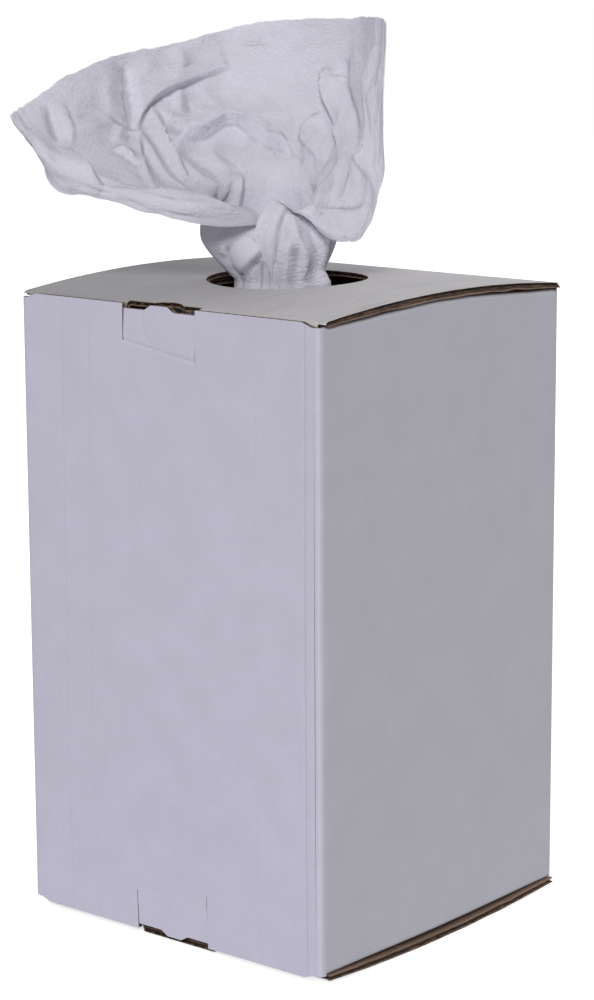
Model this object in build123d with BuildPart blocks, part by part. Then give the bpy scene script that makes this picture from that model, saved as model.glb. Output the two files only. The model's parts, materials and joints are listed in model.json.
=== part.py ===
from build123d import *
from math import cos, pi, radians, sin, sqrt, tan
import os

os.makedirs("parts", exist_ok=True)

# Boxed roll of wipes: a tuck-end carton of white-faced corrugated board, with a coreless roll
# inside and one wipe pulled up through the round hole in the lid.
# Millimetres, +Z up. The front wall faces -Y, and both end flaps hinge on the back wall.
# The origin is on the ground under the middle of the carton.

# The carton, outside
carton_width = 238.0
carton_depth = 236.0
wall_height = 385.0
board = 3.0
corner_inside = 1.0
crease_radius = 2.0
crease_bevel = 1.2

# How the folded carton goes together
fold_gap = 0.3
seat_gap = 0.3
front_rise = 2.7
front_corner = 4.5
foot_sag = 4.5
foot_half = 70.0
lid_bow = 6.5
lid_overhang = 1.0

# Dust flaps, which fold in from the side walls
dust_length = 96.0
dust_front_inset = 10.0
dust_back_inset = 7.0
dust_taper = 6.0

# The glued seam at the back left corner
seam_width = 32.0
seam_end_inset = 16.0

# Tuck flaps, which slide in behind the front wall
tuck_length = 40.0
tuck_side_gap = 1.5
tuck_corner = 12.0
tuck_lean = 6.5

# The round hole that the web comes out of
hole_radius = 50.0
hole_shift = -5.0
dust_hole_margin = 2.5

# The lock at each end: a press panel between two slits, with a tab that stands in a slot
slit_width = 0.8
top_slit_left = -33.2
top_slit_right = 24.6
top_slit_left_length = 22.0
top_slit_right_length = 31.0
foot_slit_left = -28.2
foot_slit_right = 29.3
foot_slit_left_length = 25.0
foot_slit_right_length = 34.0
press_drop = 3.1
tab_slope = 5.4
top_tab_left = -16.6
top_tab_right = 7.1
foot_tab_left = -9.8
foot_tab_right = 12.1
slot_depth = 4.0
slot_drop = 5.2
thumb_radius = 16.0
thumb_depth = 5.0
top_thumb_middle = -2.5

# The coreless roll
roll_side_gap = 9.0
roll_head_gap = 8.7
roll_bore = 40.0
ring_pitch = 24.0
ring_depth = 1.2
ring_mouth = 2.4

# The pulled wipe: its gathered neck, and the bowl that it opens into
towel_turn = 39.8
neck_u = -8.0
neck_w = 0.0
neck_dip = 12.0
neck_lobes = 9
lobe_share = 0.11
hole_half_u = 27.0
hole_half_w = 18.0
pinch_rise = 50.0
sheet_rise = 109.0
sheet_spread = 161.0
sheet_thickness = 1.4
pleat_depth = 2.6
pleat_count = 16
strand_steps = 6

# The strand that feeds it from the innermost turn of the roll
tail_gap = 0.3
tail_waist = 10.0
tail_length = 235.0

overrun = 20.0

# Heights and faces that follow
side_low = foot_sag + board + fold_gap
side_high = side_low + wall_height
front_low = side_low - front_rise
front_high = side_high + front_rise
lid_seat = side_high + fold_gap
lid_edge = lid_seat + board
half_width = carton_width / 2
half_depth = carton_depth / 2
front_inside = half_depth - board
tuck_front = front_inside - fold_gap
hinge_y = half_depth
corner_radius = corner_inside + board


def tuck_points(edge, way):
    """Corners of a tuck flap in (y, z): its fold, heel, tip, inner tip and inner corner."""
    lean = radians(tuck_lean)
    fold = (-tuck_front, edge)
    heel = (fold[0] + board * tan(lean), edge - way * board)
    tip = (fold[0] + tuck_length * sin(lean), edge - way * tuck_length * cos(lean))
    inner_tip = (tip[0] + board * cos(lean), tip[1] + way * board * sin(lean))
    return fold, heel, tip, inner_tip, (heel[0] + board / cos(lean), heel[1])


def lock_notch(left, right, tab_left, tab_right, edge, way):
    """What is cut from the raw edge of the front wall, over the press panel and beside its tab."""
    drop = edge - way * press_drop
    above = edge + way * overrun
    return [
        (left, above),
        (left, drop),
        (tab_left, drop),
        (tab_left + tab_slope, edge),
        (tab_right - tab_slope, edge),
        (tab_right, drop),
        (right, drop),
        (right, above),
    ]


def dust_outline(side):
    """Outline of one dust flap in (x, y), tapering a little from its fold to its free edge."""
    fold = side * (half_width - board / 2)
    free = side * (half_width - dust_length)
    front = -half_depth + dust_front_inset
    back = half_depth - dust_back_inset
    return [(fold, front), (free, front + dust_taper), (free, back - dust_taper), (fold, back)]


# One folded sheet: four walls, the glued seam, four dust flaps and the two press panels
with BuildPart() as carton_walls:
    with BuildSketch(Plane.XY.offset(side_low)):
        RectangleRounded(carton_width, carton_depth, corner_radius)
        RectangleRounded(
            carton_width - 2 * board,
            carton_depth - 2 * board,
            corner_inside,
            mode=Mode.SUBTRACT,
        )
    extrude(amount=wall_height)
    with BuildSketch(Plane.XZ.offset(front_inside)):
        with Locations((0, (front_low + front_high) / 2)):
            Rectangle(carton_width - 2 * front_corner, front_high - front_low)
    extrude(amount=board)
    for plate_low in (side_low, side_high - board):
        with BuildSketch(Plane.XY.offset(plate_low)):
            for side in (-1, 1):
                with BuildLine():
                    Polyline(*dust_outline(side), close=True)
                make_face()
        extrude(amount=board)
    fold_lines = (
        carton_walls.edges()
        .filter_by(Axis.Y)
        .filter_by(lambda e: abs(abs(e.center().X) - half_width) < board / 2)
        .filter_by(lambda e: e.length > carton_depth / 2)
    )
    chamfer(fold_lines, crease_bevel)
    with BuildSketch(Plane.XY.offset(side_high - board)):
        with Locations((0, hole_shift)):
            Circle(hole_radius + dust_hole_margin)
    extrude(amount=board, mode=Mode.SUBTRACT)
    with BuildSketch(Plane.XZ.offset(-front_inside)):
        with BuildLine():
            Polyline(
                (-half_width + board / 2, side_low + seam_end_inset / 2),
                (-half_width + board + seam_width, side_low + seam_end_inset),
                (-half_width + board + seam_width, side_high - seam_end_inset),
                (-half_width + board / 2, side_high - seam_end_inset / 2),
                close=True,
            )
        make_face()
    extrude(amount=board)
    with BuildSketch(Plane.XZ.offset(front_inside - overrun)):
        with BuildLine():
            Polyline(
                *lock_notch(
                    top_slit_left, top_slit_right, top_tab_left, top_tab_right, front_high, 1
                ),
                close=True,
            )
        make_face()
        with BuildLine():
            Polyline(
                *lock_notch(
                    foot_slit_left, foot_slit_right, foot_tab_left, foot_tab_right, front_low, -1
                ),
                close=True,
            )
        make_face()
        for slit_x, slit_length in (
            (top_slit_left, top_slit_left_length),
            (top_slit_right, top_slit_right_length),
        ):
            with Locations((slit_x, front_high - slit_length / 2)):
                Rectangle(slit_width, slit_length)
        for slit_x, slit_length in (
            (foot_slit_left, foot_slit_left_length),
            (foot_slit_right, foot_slit_right_length),
        ):
            with Locations((slit_x, front_low + slit_length / 2)):
                Rectangle(slit_width, slit_length)
    extrude(amount=2 * overrun, mode=Mode.SUBTRACT)
carton_walls.part.label = "carton_walls"

# The lid: bowed up by the springy dust flaps, with a leaning tuck flap, the round hole,
# and a slot cut out of its front fold for the lock tab
with BuildPart() as top_lid:
    fold, heel, tip, inner_tip, inner = tuck_points(lid_edge, 1)
    with BuildSketch(Plane.YZ):
        with BuildLine():
            Line((hinge_y, lid_seat), (hinge_y, lid_edge))
            ThreePointArc((hinge_y, lid_edge), (0, lid_edge + lid_bow), fold)
            Polyline(fold, heel, inner)
            ThreePointArc(inner, (0, lid_seat + lid_bow), (hinge_y, lid_seat))
        make_face()
    extrude(amount=half_width + lid_overhang, both=True)
    lid_folds = (
        top_lid.edges().filter_by(Axis.X).filter_by(lambda e: abs(e.center().Z - lid_edge) < fold_gap)
    )
    fillet(lid_folds, crease_radius)
    tuck_half = half_width - board - tuck_side_gap
    with BuildSketch(Plane.YZ):
        with BuildLine():
            Polyline(heel, tip, inner_tip, inner, close=True)
        make_face()
    extrude(amount=tuck_half, both=True)
    tuck_ends = (
        top_lid.edges()
        .filter_by(lambda e: abs(abs(e.center().X) - tuck_half) < fold_gap)
        .sort_by(Axis.Z)[:2]
    )
    chamfer(tuck_ends, tuck_corner)
    with BuildSketch(Plane.XY.offset(lid_edge - slot_drop)):
        with Locations(((top_slit_left + top_slit_right) / 2, -tuck_front - overrun / 2 + slot_depth)):
            Rectangle(top_slit_right - top_slit_left, overrun)
        with Locations((top_thumb_middle, -tuck_front + slot_depth + thumb_depth - thumb_radius)):
            Circle(thumb_radius)
    extrude(amount=slot_drop + overrun, mode=Mode.SUBTRACT)
    with BuildSketch(Plane.XY.offset(lid_seat)):
        with Locations((0, hole_shift)):
            Circle(hole_radius)
    extrude(amount=overrun, mode=Mode.SUBTRACT)
top_lid.part.label = "top_lid"

# The bottom flap: the same lock, sagging a little under the roll and flat where it stands
with BuildPart() as bottom_lid:
    fold, heel, tip, inner_tip, inner = tuck_points(foot_sag, -1)
    with BuildSketch(Plane.YZ):
        with BuildLine():
            Line((hinge_y, foot_sag + board), (hinge_y, foot_sag))
            TangentArc((foot_half, 0), (hinge_y, foot_sag), tangent=(1, 0))
            Line((foot_half, 0), (-foot_half, 0))
            TangentArc((-foot_half, 0), fold, tangent=(-1, 0))
            Polyline(fold, heel, inner)
            TangentArc((-foot_half, board), inner, tangent=(-1, 0))
            Line((-foot_half, board), (foot_half, board))
            TangentArc((foot_half, board), (hinge_y, foot_sag + board), tangent=(1, 0))
        make_face()
    extrude(amount=half_width + lid_overhang, both=True)
    foot_folds = (
        bottom_lid.edges()
        .filter_by(Axis.X)
        .filter_by(lambda e: abs(e.center().Z - foot_sag) < fold_gap and abs(e.center().Y) > foot_half)
    )
    fillet(foot_folds, crease_radius)
    with BuildSketch(Plane.YZ):
        with BuildLine():
            Polyline(heel, tip, inner_tip, inner, close=True)
        make_face()
    extrude(amount=tuck_half, both=True)
    tuck_ends = (
        bottom_lid.edges()
        .filter_by(lambda e: abs(abs(e.center().X) - tuck_half) < fold_gap)
        .sort_by(Axis.Z)[-2:]
    )
    chamfer(tuck_ends, tuck_corner)
    with BuildSketch(Plane.XY.offset(foot_sag + slot_drop)):
        with Locations(
            ((foot_slit_left + foot_slit_right) / 2, -tuck_front - overrun / 2 + slot_depth)
        ):
            Rectangle(foot_slit_right - foot_slit_left, overrun)
    extrude(amount=-slot_drop - overrun, mode=Mode.SUBTRACT)
bottom_lid.part.label = "bottom_lid"

# The roll stands on the bottom dust flaps, and ring grooves show its turns on both ends
roll_low = side_low + board + seat_gap
roll_high = side_high - board - roll_head_gap
roll_radius = min(half_width, half_depth) - board - roll_side_gap
with BuildPart() as wipe_roll:
    with BuildSketch(Plane.XZ):
        with Locations(((roll_bore + roll_radius) / 2, (roll_low + roll_high) / 2)):
            Rectangle(roll_radius - roll_bore, roll_high - roll_low)
        ring_count = int((roll_radius - roll_bore) / ring_pitch)
        for ring in range(1, ring_count):
            ring_r = roll_bore + ring * ring_pitch
            for face_z, inward in ((roll_low, 1), (roll_high, -1)):
                with BuildLine():
                    Polyline(
                        (ring_r - ring_mouth / 2, face_z),
                        (ring_r, face_z + inward * ring_depth),
                        (ring_r + ring_mouth / 2, face_z),
                        close=True,
                    )
                make_face(mode=Mode.SUBTRACT)
    revolve(axis=Axis.Z)
wipe_roll.part.label = "wipe_roll"


def turned(u, w):
    """The plan position of a point u to the right and w towards the side that the wipe faces."""
    angle = radians(towel_turn)
    return u * cos(angle) + w * sin(angle), u * sin(angle) - w * cos(angle)


def lobed_ring(u, w, half_u, half_w):
    """Points round a gathered strand: an oval drawn in by one fold between each two lobes."""
    steps = 4 * neck_lobes
    points = []
    for step in range(steps):
        angle = 2 * pi * step / steps
        swell = 1 + lobe_share * cos(neck_lobes * angle)
        points.append(turned(u + half_u * swell * cos(angle), w + half_w * swell * sin(angle)))
    return points


# Sections of the neck, which opens like a lily under the bowl: how far up to the pinch each is,
# its half widths to those in the hole, and how far it leans to the left and back
neck_section_shares = [
    (0, 1.0, 1.0, 0, 0),
    (0.3, 1.07, 1.05, 0.04, 0),
    (0.62, 1.4, 1.3, 0.3, 0.05),
    (0.85, 1.58, 1.5, 0.33, 0.1),
    (1.02, 0.42, 0.42, 0, 0),
]

# Strands of the pulled wipe from the pinch to the torn edge, left selvage first. Each lies in an
# upright plane at its bearing, with control points in shares of the spread and of the rise.
strand_bearings = [168, 190, 212, 245, 276, 310, 345, 377]
strand_shares = [
    [(0.03, -0.05), (0.38, -0.36), (0.84, -0.06), (1.02, 0.46)],
    [(0.03, 0.00), (0.36, -0.04), (0.78, 0.22), (0.92, 0.57)],
    [(0.03, 0.01), (0.30, 0.00), (0.68, 0.34), (0.76, 0.75)],
    [(0.03, 0.01), (0.28, 0.00), (0.60, 0.45), (0.64, 0.87)],
    [(0.03, 0.01), (0.26, 0.00), (0.54, 0.50), (0.56, 0.95)],
    [(0.03, 0.00), (0.25, -0.06), (0.44, 0.50), (0.47, 0.98)],
    [(0.03, -0.01), (0.30, -0.22), (0.39, 0.45), (0.42, 0.98)],
    [(0.03, -0.04), (0.40, -0.62), (0.42, 0.08), (0.42, 0.96)],
]

lid_crest = lid_edge + lid_bow
pinch_z = lid_crest + pinch_rise
neck_low = lid_crest - neck_dip


def blended(table, s):
    """The value at s across a row of values, eased through the ones beside it."""
    place = s * (len(table) - 1)
    index = min(int(place), len(table) - 2)
    t = place - index
    a, b, c, d = (table[max(0, min(len(table) - 1, index + k))] for k in (-1, 0, 1, 2))
    return b + 0.5 * t * (c - a + t * (2 * a - 5 * b + 4 * c - d + t * (3 * (b - c) + d - a)))


def strand_profile(s, ripple):
    """Upper and lower line of the cloth along one strand, in its plane, lifted by its pleat."""
    controls = [
        [blended([strand[point][axis] for strand in strand_shares], s) for axis in (0, 1)]
        for point in range(4)
    ]
    line = []
    for step in range(strand_steps + 1):
        t = step / strand_steps
        weights = ((1 - t) ** 3, 3 * t * (1 - t) ** 2, 3 * t**2 * (1 - t), t**3)
        reach, rise = (sum(k * c[axis] for k, c in zip(weights, controls)) for axis in (0, 1))
        line.append(Vector(reach * sheet_spread, rise * sheet_rise))
    upper, lower = [], []
    for step, point in enumerate(line):
        run = line[min(step + 1, strand_steps)] - line[max(step - 1, 0)]
        across = Vector(-run.Y, run.X).normalized()
        t = step / strand_steps
        lift = ripple * sin(pi * sqrt(t)) * (1 - t / 2)
        upper.append(point + across * (lift + sheet_thickness / 2))
        lower.append(point + across * (lift - sheet_thickness / 2))
    return upper, lower


# The wipe: a lobed neck through the hole, and a pleated bowl of cloth above the pinch
with BuildPart() as pulled_sheet:
    for up_share, u_share, w_share, left_share, back_share in neck_section_shares:
        neck_ring = lobed_ring(
            neck_u - left_share * hole_half_u,
            neck_w - back_share * hole_half_w,
            u_share * hole_half_u,
            w_share * hole_half_w,
        )
        with BuildSketch(Plane.XY.offset(neck_low + up_share * (pinch_z - neck_low))):
            with BuildLine():
                Polyline(*neck_ring, close=True)
            make_face()
    loft(ruled=True)
    pinch = Vector(*turned(neck_u, neck_w), pinch_z)
    for strand in range(pleat_count + 1):
        s = strand / pleat_count
        inside = 0 < strand < pleat_count
        upper, lower = strand_profile(s, pleat_depth * (-1) ** strand if inside else 0)
        bearing = radians(blended(strand_bearings, s))
        outwards = Vector(*turned(cos(bearing), sin(bearing)), 0)
        with BuildSketch(Plane(pinch, x_dir=outwards, z_dir=outwards.cross(Vector(0, 0, 1)))):
            with BuildLine():
                Spline(*upper)
                Line(upper[-1], lower[-1])
                Spline(*lower)
                Line(upper[0], lower[0])
            make_face()
    loft(ruled=True)
pulled_sheet.part.label = "pulled_sheet"

# The next wipe's web hangs from the neck and leans out to the innermost turn of the roll.
# Each section: how far down it is, how far out it has leant, and its half widths to the waist's
tail_section_shares = [(0, 0, 2.0, 1.4), (0.2, 0.1, 1.2, 1.0), (0.55, 0.5, 1.0, 0.8), (1, 1, 0.6, 1.0)]
tail_top = neck_low - tail_gap
tail_foot = tail_waist * tail_section_shares[-1][2]
tail_reach = roll_bore - seat_gap - tail_foot * (1 + lobe_share)
with BuildPart() as web_tail:
    for down_share, reach_share, u_share, w_share in tail_section_shares:
        tail_u = neck_u + reach_share * (tail_reach - neck_u)
        tail_ring = lobed_ring(tail_u, neck_w, u_share * tail_waist, w_share * tail_waist)
        with BuildSketch(Plane.XY.offset(tail_top - down_share * tail_length)):
            with BuildLine():
                Polyline(*tail_ring, close=True)
            make_face()
    loft(ruled=True)
web_tail.part.label = "web_tail"

for piece in (carton_walls, top_lid, bottom_lid, wipe_roll, web_tail, pulled_sheet):
    export_step(piece.part, f"parts/{piece.part.label}.step")
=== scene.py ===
import json
import math

import bmesh
import bpy
from mathutils import Matrix, Vector, noise
from mathutils.kdtree import KDTree


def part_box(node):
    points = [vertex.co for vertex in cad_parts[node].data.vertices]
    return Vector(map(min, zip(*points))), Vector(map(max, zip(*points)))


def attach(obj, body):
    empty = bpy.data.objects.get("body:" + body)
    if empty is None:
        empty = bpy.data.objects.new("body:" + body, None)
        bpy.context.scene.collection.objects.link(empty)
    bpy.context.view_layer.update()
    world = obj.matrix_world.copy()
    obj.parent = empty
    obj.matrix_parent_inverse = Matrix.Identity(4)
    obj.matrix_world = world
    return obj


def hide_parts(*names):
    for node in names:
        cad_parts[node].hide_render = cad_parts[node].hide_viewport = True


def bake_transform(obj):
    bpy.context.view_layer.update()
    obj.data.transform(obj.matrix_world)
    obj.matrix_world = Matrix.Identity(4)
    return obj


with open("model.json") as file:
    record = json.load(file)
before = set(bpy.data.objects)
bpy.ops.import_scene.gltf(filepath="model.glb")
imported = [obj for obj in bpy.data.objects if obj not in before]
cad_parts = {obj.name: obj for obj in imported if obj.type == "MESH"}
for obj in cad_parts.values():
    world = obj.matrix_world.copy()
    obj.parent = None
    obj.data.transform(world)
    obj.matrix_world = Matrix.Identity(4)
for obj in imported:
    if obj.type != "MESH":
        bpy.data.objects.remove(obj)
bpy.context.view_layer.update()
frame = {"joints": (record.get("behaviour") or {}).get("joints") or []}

# Lengths are in metres, +Z up, in the frame's own axes.
MM = 0.001

# The carton, as the frame gives it
walls_low, walls_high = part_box("carton_walls")
roll_low, roll_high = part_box("wipe_roll")
joint_at = {joint["name"]: Vector(joint["pos_m"]) for joint in frame["joints"] if "pos_m" in joint}

BOARD = 3.0 * MM
LINER = 0.42 * MM
MEDIUM = 0.25 * MM
FLUTE_PITCH = 6.5 * MM
FLUTE_STEPS = 6

half_width = walls_high.x
half_depth = walls_high.y
lid_edge = joint_at["lid_hinge"].z
foot_edge = joint_at["base_flap_hinge"].z
FRONT_RISE = 2.7 * MM
front_low = walls_low.z
front_high = walls_high.z
side_low = front_low + FRONT_RISE
side_high = front_high - FRONT_RISE
CORNER = 4.0 * MM
CORNER_STEPS = 6
WALL_STEPS = 24
front_inside = half_depth - BOARD


def deselect_all():
    """Nothing stays selected, and the scene is in object mode."""
    if bpy.context.object and bpy.context.object.mode != "OBJECT":
        bpy.ops.object.mode_set(mode="OBJECT")
    bpy.ops.object.select_all(action="DESELECT")


def pick(*pieces):
    """Only these pieces are selected, and the first is active."""
    deselect_all()
    for piece in pieces:
        piece.select_set(True)
    bpy.context.view_layer.objects.active = pieces[0]


def apply_modifier(piece, kind, **settings):
    """Add one modifier, set it and apply it."""
    pick(piece)
    modifier = piece.modifiers.new(kind.title(), kind)
    for name, value in settings.items():
        setattr(modifier, name, value)
    bpy.ops.object.modifier_apply(modifier=modifier.name)


def shade_smooth(piece, degrees):
    """Smooth shading that keeps the edges sharper than this angle."""
    pick(piece)
    bpy.ops.object.shade_smooth_by_angle(angle=math.radians(degrees))


def join(name, *pieces):
    """The pieces as one object with this name."""
    pick(*pieces)
    if len(pieces) > 1:
        bpy.ops.object.join()
    pieces[0].name = name
    return pieces[0]


def add_object(name, data):
    """A new object with this data, in the scene."""
    made = bpy.data.objects.new(name, data)
    bpy.context.collection.objects.link(made)
    return made


def grid(name, columns, rows, flat=None):
    """A flat grid of this many faces, one metre wide, round the origin. With a flat size, its
    UVs run over that size in metres."""
    deselect_all()
    bpy.ops.mesh.primitive_grid_add(
        x_subdivisions=columns, y_subdivisions=rows, size=1, calc_uvs=flat is not None
    )
    sheet = bpy.context.object
    sheet.name = name
    if flat:
        for corner in sheet.data.uv_layers.active.data:
            corner.uv = (corner.uv[0] * flat[0], corner.uv[1] * flat[1])
    return sheet


def smooth_step(low, high, value):
    """0 below low, 1 above high, and an eased rise between them."""
    t = min(1.0, max(0.0, (value - low) / (high - low)))
    return t * t * (3 - 2 * t)


def wobble(x, y, z=0.0):
    """Smooth noise from about -1 to 1."""
    return noise.noise(Vector((x, y, z)))


# Camera, at the photograph's angle
camera_data = bpy.data.cameras.new("photo_camera")
camera = add_object("photo_camera", camera_data)
bpy.context.scene.camera = camera
CAMERA_AZIMUTH = math.radians(39.81)
CAMERA_ELEVATION = math.radians(11.29)
CAMERA_ROLL = math.radians(-0.27)
CAMERA_DISTANCE = 1.7614
CAMERA_LENS = 101.15
CAMERA_SHIFT = (-0.0059, -0.0023)
camera_target = Vector((7.7 * MM, 0, 263.8 * MM))
camera_data.sensor_fit = "VERTICAL"
camera_data.sensor_height = 36.0
camera_data.lens = CAMERA_LENS
camera_data.shift_x, camera_data.shift_y = CAMERA_SHIFT
level = math.cos(CAMERA_ELEVATION)
to_camera = Vector(
    (math.sin(CAMERA_AZIMUTH) * level, -math.cos(CAMERA_AZIMUTH) * level, math.sin(CAMERA_ELEVATION))
)
camera.location = camera_target + to_camera * CAMERA_DISTANCE
camera.rotation_euler = (
    to_camera.to_track_quat("Z", "Y") @ Matrix.Rotation(CAMERA_ROLL, 3, "Z").to_quaternion()
).to_euler()
camera_data.clip_end = 20
bpy.context.scene.view_settings.view_transform = "Standard"


# Shader sockets as values in an expression
class Value:
    """A node's output socket, with arithmetic that adds Math nodes."""

    def __init__(self, shader, socket):
        self.shader = shader
        self.socket = socket

    def _math(self, operation, *values):
        return self.shader.node("ShaderNodeMath", dict(enumerate(values)), operation=operation)

    def __add__(self, other):
        return self._math("ADD", self, other)

    __radd__ = __add__

    def __mul__(self, other):
        return self._math("MULTIPLY", self, other)

    __rmul__ = __mul__

    def __sub__(self, other):
        return self._math("SUBTRACT", self, other)

    def __rsub__(self, other):
        return self._math("SUBTRACT", other, self)

    def __pow__(self, other):
        return self._math("POWER", self, other)

    def __rpow__(self, other):
        return self._math("POWER", other, self)

    def sine(self):
        return self._math("SINE", self)

    def between(self, low, high):
        """0 below low, 1 above high and eased between."""
        sockets = {"Value": self, "From Min": low, "From Max": high}
        return self.shader.node("ShaderNodeMapRange", sockets, interpolation_type="SMOOTHSTEP")


class NodeTree:
    """A node tree, built from expressions."""

    def __init__(self, tree):
        self.nodes = tree.nodes
        self.links = tree.links

    def node(self, kind, sockets=None, out=0, **settings):
        """Add a node, set it, feed its sockets and give its output as a Value."""
        node = self.nodes.new(kind)
        for name, value in settings.items():
            setattr(node, name, value)
        for key, value in (sockets or {}).items():
            self.feed(node.inputs[key], value)
        return Value(self, node.outputs[out])

    def feed(self, socket, value):
        """Link a Value to a socket, or set the socket's own value."""
        if isinstance(value, Value):
            self.links.new(value.socket, socket)
        else:
            socket.default_value = value

    def seen_rays(self):
        """1 for rays from the camera and those off a glossy surface, 0 for the others."""
        camera_rays = self.node("ShaderNodeLightPath", out="Is Camera Ray")
        return camera_rays + self.node("ShaderNodeLightPath", out="Is Glossy Ray")


class Shader(NodeTree):
    """One material."""

    def __init__(self, name):
        self.material = bpy.data.materials.new(name)
        self.material.use_nodes = True
        super().__init__(self.material.node_tree)
        self.surface = self.nodes["Principled BSDF"]
        self.output = self.nodes["Material Output"]

    def surface_set(self, **values):
        for name, value in values.items():
            self.feed(self.surface.inputs[name.replace("_", " ")], value)

    def place(self, scale=(1, 1, 1), uv=False):
        """The piece's own coordinates, in metres times scale."""
        vector = self.node("ShaderNodeTexCoord", out="UV" if uv else "Object")
        return self.node("ShaderNodeMapping", {"Vector": vector, "Scale": scale})

    def noise(self, vector, scale, detail, roughness=0.55):
        sockets = {"Vector": vector, "Scale": scale, "Detail": detail, "Roughness": roughness}
        return self.node("ShaderNodeTexNoise", sockets)

    def axis(self, vector, index):
        return self.node("ShaderNodeSeparateXYZ", {"Vector": vector}, out=index)

    def blend(self, mask, first, second):
        """The first colour where mask is 0, the second where it is 1."""
        first, second = (c if isinstance(c, Value) else (*c, 1) for c in (first, second))
        return self.node("ShaderNodeMix", {"Factor": mask, 6: first, 7: second}, 2, data_type="RGBA")

    def bump(self, height, distance, strength):
        """Relief from a height that runs from 0 to 1, over this many metres."""
        sockets = {"Height": height, "Distance": distance, "Strength": strength}
        self.feed(self.surface.inputs["Normal"], self.node("ShaderNodeBump", sockets))

    def shaded(self, tone, color, shades):
        """The tone, blended towards a share of the colour by each (mask, share) in turn."""
        for mask, share in shades:
            tone = self.blend(mask, tone, [min(1.0, c * share) for c in color])
        return tone

    def join_surface(self, kind, sockets, own):
        """Put a shader node before the output, with the surface in its socket number own."""
        sockets[own] = Value(self, self.surface.outputs[0])
        self.feed(self.output.inputs["Surface"], self.node(kind, sockets))


FRONT_WHITE = (0.560, 0.540, 0.660)
# The side walls' white is the front's board made darker and greyer: painted shade.
SIDE_WHITE_PAINTED_SHADE = (0.500, 0.495, 0.555)
LID_WHITE = (0.600, 0.582, 0.605)
KRAFT = (0.215, 0.145, 0.108)
KRAFT_DARK = (0.055, 0.036, 0.028)
# Score lines and streaks down the front wall: place across it, and depth as a share
WALL_SCORES = [(107.5 * MM, 1.0), (-84 * MM, 0.5), (-62 * MM, 0.4), (71 * MM, 0.25)]
CLOTH_WHITE = (0.890, 0.875, 0.970)
CLOTH_TRANSLUCENT = 0.26
TURN_LINES = 0.9 * MM


def printed_liner(name, color, ridge_axis, ridge_share, streaks=False, scores=()):
    """The white face of the board: mottled, faintly ridged over its flutes, and scuffed. With
    streaks, as on the lid, the flutes show as streaks and painted shade darkens the front left corner."""
    shader = Shader(name)
    place = shader.place()
    mottle = shader.noise(place, 34, 4)
    fibre = shader.noise(shader.place((300, 300, 60)), 4, 3)
    across = shader.axis(place, ridge_axis)
    drift = shader.noise(place, 9, 2) * 2.4
    ridges = (across * (2 * math.pi / FLUTE_PITCH) + drift).sine() * 0.5 + 0.5
    faded = shader.noise(place, 14, 2).between(0.42, 0.62)
    long_scuff = shader.noise(shader.place((60, 60, 9)), 2.1, 4, 0.6).between(0.66, 0.76)
    scuff = shader.noise(shader.place((90, 90, 34)), 2.1, 5, 0.7).between(0.67, 0.74)
    shades = [(fibre.between(0.35, 0.7) * 0.3, 0.9)]
    if streaks:
        streak = shader.noise(shader.place((420, 16, 1)), 1.0, 3, 0.6).between(0.52, 0.66)
        # Painted shade: the front left corner of the lid is made darker, standing in for shade.
        front = shader.axis(place, 1).between(0.11, -0.02) * shader.axis(place, 0).between(0.12, -0.10)
        shades += [(streak * faded * 0.55, 0.66), (front * 0.9, 0.52)]
        relief = ridges * ridge_share - streak * faded * 0.5
    else:
        relief = ridges * faded * ridge_share
    shades.append((ridges * faded * 0.08 * ridge_share, 0.62))
    for at, depth in scores:
        aside = across - at
        line = (aside * aside).between((0.9 * MM) ** 2, 0.0)
        shades.append((line * 0.16 * depth, 0.7))
        relief = relief - line * depth
    shades += [(scuff * 0.22, 0.72), (long_scuff * 0.16, 0.75)]
    tone = shader.blend(mottle.between(0.3, 0.72), [c * 0.945 for c in color], color)
    tone = shader.shaded(tone, color, shades)
    shader.surface_set(Base_Color=tone, Roughness=mottle * 0.16 + 0.56, Specular_IOR_Level=0.35)
    shader.bump(relief + fibre * 0.14 + mottle * 0.4 - scuff * 0.25, 0.25 * MM, 0.8)
    return shader.material


def kraft_paper(name, share=1.0, mottle=1.0):
    """Brown kraft of the board's inside, its flutes and its raw edges. share makes it lighter,
    and mottle is how uneven it is."""
    shader = Shader(name)
    fibre = shader.noise(shader.place((700, 170, 1500)), 1.0, 4, 0.7)
    patch = shader.noise(shader.place((240, 60, 900)), 1.0, 3)
    dark = [share * (full + (low - full) * mottle) for full, low in zip(KRAFT, KRAFT_DARK)]
    tone = shader.blend(fibre.between(0.38, 0.62), dark, [c * share for c in KRAFT])
    tone = shader.blend(patch.between(0.52, 0.68) * 0.7 * mottle, tone, [c * 1.9 * share for c in KRAFT])
    shader.surface_set(Base_Color=tone, Roughness=0.86, Specular_IOR_Level=0.2)
    shader.bump(fibre, 0.2 * MM, 0.6)
    return shader.material


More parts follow.
